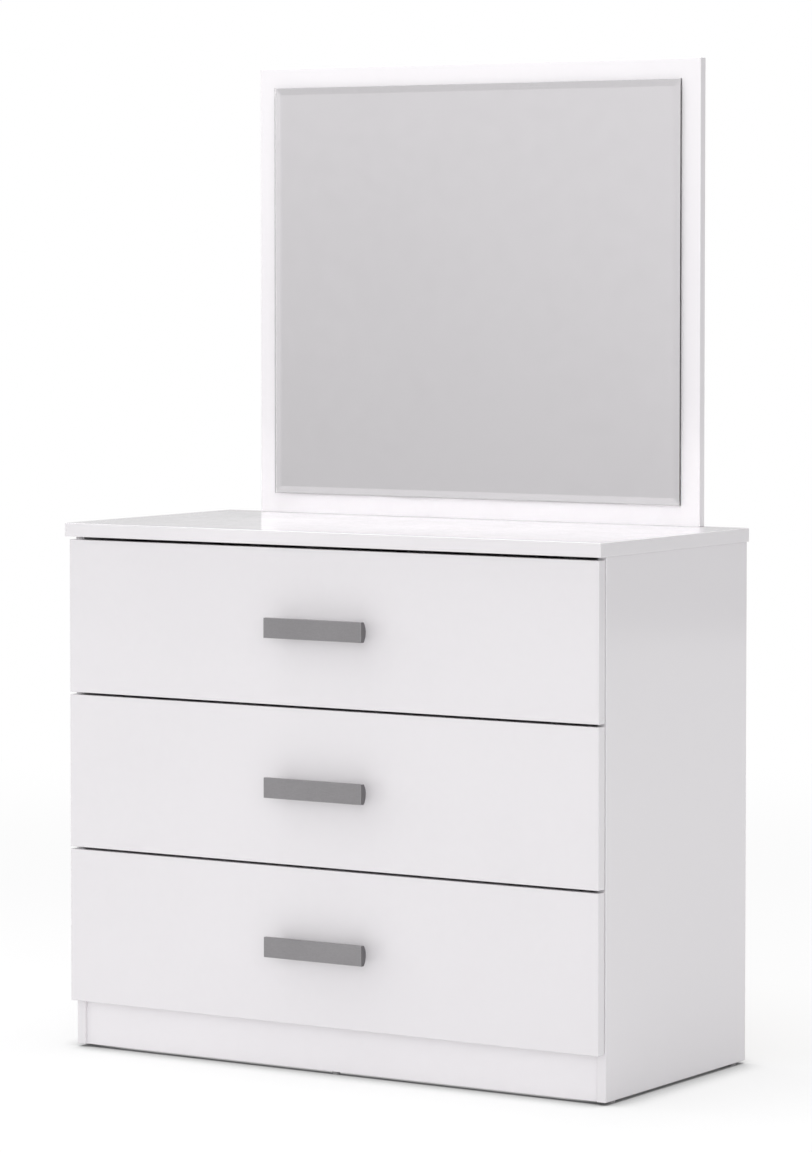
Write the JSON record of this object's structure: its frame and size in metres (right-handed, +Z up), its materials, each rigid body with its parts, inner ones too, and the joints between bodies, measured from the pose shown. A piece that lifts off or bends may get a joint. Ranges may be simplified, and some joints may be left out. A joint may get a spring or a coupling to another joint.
{
  "type": "dressing table",
  "caption": "Free-standing chest of drawers with full-width fronts and bar handles, carrying an upright bevelled mirror board at the rear of its top.",
  "frame": {"origin": "on the floor at the middle of the object's box in plan, between the handles' faces and the rearmost screw heads", "axes": "+Z up, +X to the right as one faces the drawers, +Y from the front to the back; the drawers open along -Y"},
  "size_m": [1.008, 0.5096, 1.611],
  "materials": {
    "white_lacquered_board": "white gloss lacquer with rounded edging on chipboard",
    "white_melamine_board": "white matt melamine on chipboard",
    "white_hardboard": "hardboard, white printed face",
    "silvered_glass": "silvered and bevelled",
    "foam_tape": "double-sided foam tape",
    "zinc_plated_steel": "bright zinc plated",
    "beech_dowel": "plain beech",
    "white_plastic": "moulded",
    "grey_plastic": "moulded",
    "white_enamelled_steel": "white enamel on sheet steel",
    "satin_grey_metal": "satin grey, lightly brushed"
  },
  "bodies": {
    "carcass": {"back_panel": "white_hardboard", "back_panel_nails": "zinc_plated_steel", "bottom_panel": "white_melamine_board", "carcass_cam_fittings": "zinc_plated_steel", "carcass_dowels": "beech_dowel", "floor_glides": "grey_plastic", "front_plinth": "white_lacquered_board", "left_side_panel": "white_lacquered_board", "lower_left_runner": "white_enamelled_steel", "lower_right_runner": "white_enamelled_steel", "middle_left_runner": "white_enamelled_steel", "middle_right_runner": "white_enamelled_steel", "mirror_board": "white_lacquered_board", "mirror_glass": "silvered_glass", "mirror_strap_screws": "zinc_plated_steel", "mirror_straps": "zinc_plated_steel", "mirror_tape": "foam_tape", "rear_plinth": "white_melamine_board", "rear_top_rail": "white_melamine_board", "right_side_panel": "white_lacquered_board", "runner_screws": "zinc_plated_steel", "top_panel": "white_lacquered_board", "upper_left_runner": "white_enamelled_steel", "upper_right_runner": "white_enamelled_steel"},
    "upper_drawer": {"upper_drawer_back": "white_melamine_board", "upper_drawer_bottom": "white_hardboard", "upper_drawer_fixings": "zinc_plated_steel", "upper_drawer_front": "white_lacquered_board", "upper_drawer_handle": "satin_grey_metal", "upper_drawer_handle_screws": "zinc_plated_steel", "upper_drawer_left_rail": "white_enamelled_steel", "upper_drawer_left_side": "white_melamine_board", "upper_drawer_right_rail": "white_enamelled_steel", "upper_drawer_right_side": "white_melamine_board"},
    "upper_front_rollers": {"upper_front_rollers": "white_plastic"},
    "upper_rear_rollers": {"upper_rear_rollers": "white_plastic"},
    "middle_drawer": {"middle_drawer_back": "white_melamine_board", "middle_drawer_bottom": "white_hardboard", "middle_drawer_fixings": "zinc_plated_steel", "middle_drawer_front": "white_lacquered_board", "middle_drawer_handle": "satin_grey_metal", "middle_drawer_handle_screws": "zinc_plated_steel", "middle_drawer_left_rail": "white_enamelled_steel", "middle_drawer_left_side": "white_melamine_board", "middle_drawer_right_rail": "white_enamelled_steel", "middle_drawer_right_side": "white_melamine_board"},
    "middle_front_rollers": {"middle_front_rollers": "white_plastic"},
    "middle_rear_rollers": {"middle_rear_rollers": "white_plastic"},
    "lower_drawer": {"lower_drawer_back": "white_melamine_board", "lower_drawer_bottom": "white_hardboard", "lower_drawer_fixings": "zinc_plated_steel", "lower_drawer_front": "white_lacquered_board", "lower_drawer_handle": "satin_grey_metal", "lower_drawer_handle_screws": "zinc_plated_steel", "lower_drawer_left_rail": "white_enamelled_steel", "lower_drawer_left_side": "white_melamine_board", "lower_drawer_right_rail": "white_enamelled_steel", "lower_drawer_right_side": "white_melamine_board"},
    "lower_front_rollers": {"lower_front_rollers": "white_plastic"},
    "lower_rear_rollers": {"lower_rear_rollers": "white_plastic"}
  },
  "joints": [
    {"name": "upper_drawer_slide", "type": "slide", "parent": "carcass", "child": "upper_drawer", "axis": [0, -1, 0], "range_m": [0, 0.3]},
    {"name": "upper_front_roller_turn", "type": "hinge", "parent": "carcass", "child": "upper_front_rollers", "pos_m": [0, -0.1848, 0.6215], "axis": [1, 0, 0], "continuous": true},
    {"name": "upper_rear_roller_turn", "type": "hinge", "parent": "upper_drawer", "child": "upper_rear_rollers", "pos_m": [0, 0.1882, 0.6213], "axis": [1, 0, 0], "continuous": true},
    {"name": "middle_drawer_slide", "type": "slide", "parent": "carcass", "child": "middle_drawer", "axis": [0, -1, 0], "range_m": [0, 0.3]},
    {"name": "middle_front_roller_turn", "type": "hinge", "parent": "carcass", "child": "middle_front_rollers", "pos_m": [0, -0.1848, 0.3685], "axis": [1, 0, 0], "continuous": true},
    {"name": "middle_rear_roller_turn", "type": "hinge", "parent": "middle_drawer", "child": "middle_rear_rollers", "pos_m": [0, 0.1882, 0.3683], "axis": [1, 0, 0], "continuous": true},
    {"name": "lower_drawer_slide", "type": "slide", "parent": "carcass", "child": "lower_drawer", "axis": [0, -1, 0], "range_m": [0, 0.3]},
    {"name": "lower_front_roller_turn", "type": "hinge", "parent": "carcass", "child": "lower_front_rollers", "pos_m": [0, -0.1848, 0.1155], "axis": [1, 0, 0], "continuous": true},
    {"name": "lower_rear_roller_turn", "type": "hinge", "parent": "lower_drawer", "child": "lower_rear_rollers", "pos_m": [0, 0.1882, 0.1153], "axis": [1, 0, 0], "continuous": true}
  ],
  "couplings": [
    {"joint": "upper_front_roller_turn", "follows": "upper_drawer_slide", "rad_per_m": 133.33},
    {"joint": "upper_rear_roller_turn", "follows": "upper_drawer_slide", "rad_per_m": 133.33},
    {"joint": "middle_front_roller_turn", "follows": "middle_drawer_slide", "rad_per_m": 133.33},
    {"joint": "middle_rear_roller_turn", "follows": "middle_drawer_slide", "rad_per_m": 133.33},
    {"joint": "lower_front_roller_turn", "follows": "lower_drawer_slide", "rad_per_m": 133.33},
    {"joint": "lower_rear_roller_turn", "follows": "lower_drawer_slide", "rad_per_m": 133.33}
  ]
}
